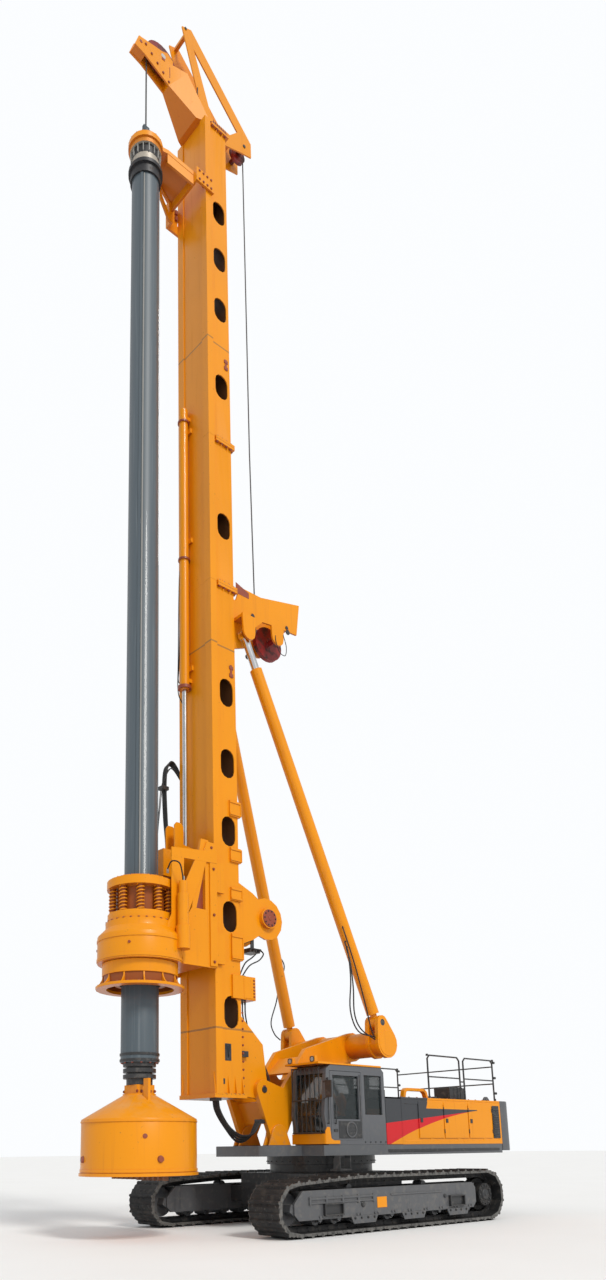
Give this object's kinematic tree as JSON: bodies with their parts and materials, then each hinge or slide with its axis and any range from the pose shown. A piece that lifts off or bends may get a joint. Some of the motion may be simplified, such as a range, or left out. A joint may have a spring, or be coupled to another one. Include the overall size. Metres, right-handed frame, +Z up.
{
  "type": "rotary piling rig",
  "caption": "Crawler rotary drilling rig with slewing upper, cab, hinged mast, rotary drive, kelly bar and hinged-bottom drilling bucket.",
  "frame": {"origin": "on the ground, under the middle of the whole machine's bounding box", "axes": "+X towards the drilling tool, +Y towards the cab side, +Z up"},
  "size_m": [12.245, 4.9, 32.6203],
  "materials": {
    "car_body": "dark worn steel",
    "slew_ring": "dark worn steel",
    "side_frame_left": "dark grey paint",
    "side_frame_right": "dark grey paint",
    "track_left": "dark worn steel",
    "track_right": "dark worn steel",
    "sprocket_left": "dark worn steel",
    "sprocket_right": "dark worn steel",
    "deck": "dark grey paint",
    "counterweight": "dark grey paint",
    "engine_block": "black paint",
    "hood_left": "gloss orange-yellow enamel",
    "hood_right": "gloss orange-yellow enamel",
    "hood_roof": "gloss orange-yellow enamel",
    "exhaust": "black paint",
    "handrails": "black paint",
    "cab_shell": "dark grey paint",
    "cab_glass": "tinted glass",
    "cab_seat": "black cloth",
    "cab_guard": "gloss orange-yellow enamel",
    "cab_door": "dark grey paint",
    "cab_door_glass": "tinted glass",
    "boom_frame": "gloss orange-yellow enamel",
    "cross_tube": "gloss orange-yellow enamel",
    "luff_barrel_left": "gloss orange-yellow enamel",
    "luff_barrel_right": "gloss orange-yellow enamel",
    "luff_rod_left": "hard chrome",
    "luff_rod_right": "hard chrome",
    "stay_barrel_left": "gloss orange-yellow enamel",
    "stay_barrel_right": "gloss orange-yellow enamel",
    "stay_rod_left": "hard chrome",
    "stay_rod_right": "hard chrome",
    "mast_lower": "gloss orange-yellow enamel",
    "mast_middle": "gloss orange-yellow enamel",
    "mast_upper": "gloss orange-yellow enamel",
    "mast_head": "gloss orange-yellow enamel",
    "rear_jib": "gloss orange-yellow enamel",
    "mast_bracket": "gloss orange-yellow enamel",
    "crowd_barrel": "gloss orange-yellow enamel",
    "winch_frame": "gloss orange-yellow enamel",
    "head_sheave": "dark red paint",
    "rear_sheave": "dark red paint",
    "guide_pulley": "dark red paint",
    "winch_drum": "black paint",
    "kelly_guide": "gloss orange-yellow enamel",
    "kelly_tube": "dark blue-grey paint",
    "kelly_head": "bare grey steel",
    "kelly_stub": "black damper rings",
    "bucket_shell": "gloss orange-yellow enamel",
    "bucket_gate": "gloss orange-yellow enamel",
    "carriage_frame": "gloss orange-yellow enamel",
    "rotary_housing": "gloss orange-yellow enamel",
    "rotary_motor_left": "black paint",
    "rotary_motor_right": "black paint",
    "crowd_rod": "hard chrome",
    "spring_pack": "gloss orange-yellow enamel",
    "casing_drive": "gloss orange-yellow enamel"
  },
  "bodies": {
    "undercarriage": {"car_body": "car_body", "slew_ring": "slew_ring", "side_frame_left": "side_frame_left", "side_frame_right": "side_frame_right", "track_left": "track_left", "track_right": "track_right", "sprocket_left": "sprocket_left", "sprocket_right": "sprocket_right"},
    "upper": {"deck": "deck", "counterweight": "counterweight", "engine_block": "engine_block", "hood_left": "hood_left", "hood_right": "hood_right", "hood_roof": "hood_roof", "exhaust": "exhaust", "handrails": "handrails", "cab_shell": "cab_shell", "cab_glass": "cab_glass", "cab_seat": "cab_seat", "cab_guard": "cab_guard"},
    "door": {"cab_door": "cab_door", "cab_door_glass": "cab_door_glass"},
    "boom": {"boom_frame": "boom_frame", "cross_tube": "cross_tube"},
    "luff_barrels": {"luff_barrel_left": "luff_barrel_left", "luff_barrel_right": "luff_barrel_right"},
    "luff_rods": {"luff_rod_left": "luff_rod_left", "luff_rod_right": "luff_rod_right"},
    "stay_barrels": {"stay_barrel_left": "stay_barrel_left", "stay_barrel_right": "stay_barrel_right"},
    "stay_rod_left": {"stay_rod_left": "stay_rod_left"},
    "stay_rod_right": {"stay_rod_right": "stay_rod_right"},
    "mast": {"mast_lower": "mast_lower", "mast_middle": "mast_middle", "mast_upper": "mast_upper", "mast_head": "mast_head", "rear_jib": "rear_jib", "mast_bracket": "mast_bracket", "crowd_barrel": "crowd_barrel", "winch_frame": "winch_frame"},
    "head_sheave": {"head_sheave": "head_sheave"},
    "rear_sheave": {"rear_sheave": "rear_sheave"},
    "guide_pulley": {"guide_pulley": "guide_pulley"},
    "winch_drum": {"winch_drum": "winch_drum"},
    "kelly_guide": {"kelly_guide": "kelly_guide"},
    "kelly": {"kelly_tube": "kelly_tube", "kelly_head": "kelly_head", "kelly_stub": "kelly_stub", "bucket_shell": "bucket_shell"},
    "bucket_gate": {"bucket_gate": "bucket_gate"},
    "carriage": {"carriage_frame": "carriage_frame", "rotary_housing": "rotary_housing", "rotary_motor_left": "rotary_motor_left", "rotary_motor_right": "rotary_motor_right", "crowd_rod": "crowd_rod"},
    "drive": {"spring_pack": "spring_pack", "casing_drive": "casing_drive"}
  },
  "joints": [
    {"name": "slew", "type": "hinge", "parent": "undercarriage", "child": "upper", "pos_m": [-0.3525, 0, 1.535], "axis": [0, 0, 1], "continuous": true},
    {"name": "cab_door", "type": "hinge", "parent": "upper", "child": "door", "pos_m": [-0.0285, 1.65, 1.8603], "axis": [0, 0, 1], "range_deg": [0, 85]},
    {"name": "boom_luff", "type": "hinge", "parent": "upper", "child": "boom", "pos_m": [1.5475, 0, 1.98], "axis": [0, 1, 0], "range_deg": [-8, 4]},
    {"name": "luff_swing", "type": "hinge", "parent": "upper", "child": "luff_barrels", "pos_m": [-1.9025, 0, 2.06], "axis": [0, 1, 0], "range_deg": [-3, 3]},
    {"name": "luff_extend", "type": "slide", "parent": "luff_barrels", "child": "luff_rods", "axis": [0.5269, 0, 0.8499], "range_m": [-0.43, 0.22]},
    {"name": "mast_tilt", "type": "hinge", "parent": "boom", "child": "mast", "pos_m": [1.9475, 0, 2.97], "axis": [0, 1, 0], "range_deg": [-8, 5]},
    {"name": "stay_swing", "type": "hinge", "parent": "boom", "child": "stay_barrels", "pos_m": [-0.9125, 0, 4.57], "axis": [0, 1, 0], "range_deg": [-10, 6]},
    {"name": "stay_extend_left", "type": "slide", "parent": "stay_barrels", "child": "stay_rod_left", "axis": [0.3198, -0.0875, 0.9434], "range_m": [-0.46, 0.3]},
    {"name": "stay_extend_right", "type": "slide", "parent": "stay_barrels", "child": "stay_rod_right", "axis": [0.3198, 0.0875, 0.9434], "range_m": [-0.46, 0.3]},
    {"name": "crowd", "type": "slide", "parent": "mast", "child": "carriage", "axis": [0, 0, 1], "range_m": [-1.75, 3.9]},
    {"name": "kelly_hoist", "type": "slide", "parent": "mast", "child": "kelly_guide", "axis": [0, 0, 1], "range_m": [-17.3, 0.2]},
    {"name": "kelly_turn", "type": "hinge", "parent": "kelly_guide", "child": "kelly", "pos_m": [4.9275, 0, 2.83], "axis": [0, 0, 1], "continuous": true},
    {"name": "drive_turn", "type": "hinge", "parent": "carriage", "child": "drive", "pos_m": [4.9275, 0, 5.49], "axis": [0, 0, 1], "continuous": true},
    {"name": "gate", "type": "hinge", "parent": "kelly", "child": "bucket_gate", "pos_m": [6.1225, 0, 1.2697], "axis": [0, 1, 0], "range_deg": [-60, 0]},
    {"name": "head_sheave_turn", "type": "hinge", "parent": "mast", "child": "head_sheave", "pos_m": [4.4555, 0, 31], "axis": [0, 1, 0], "continuous": true},
    {"name": "rear_sheave_turn", "type": "hinge", "parent": "mast", "child": "rear_sheave", "pos_m": [1.6475, 0, 30.1], "axis": [0, 1, 0], "continuous": true},
    {"name": "guide_pulley_turn", "type": "hinge", "parent": "mast", "child": "guide_pulley", "pos_m": [0.9575, 0, 14.45], "axis": [0, 1, 0], "continuous": true},
    {"name": "winch_turn", "type": "hinge", "parent": "mast", "child": "winch_drum", "pos_m": [1.6675, 0, 6.9], "axis": [0, 1, 0], "continuous": true}
  ],
  "couplings": [
    {"joint": "luff_swing", "follows": "boom_luff", "ratio": -0.1},
    {"joint": "luff_extend", "follows": "boom_luff", "m_per_rad": 2.9735},
    {"joint": "stay_swing", "follows": "mast_tilt", "ratio": 1.08},
    {"joint": "stay_extend_left", "follows": "mast_tilt", "m_per_rad": 3.17},
    {"joint": "stay_extend_right", "follows": "mast_tilt", "m_per_rad": 3.17},
    {"joint": "kelly_turn", "follows": "drive_turn", "ratio": 1}
  ]
}
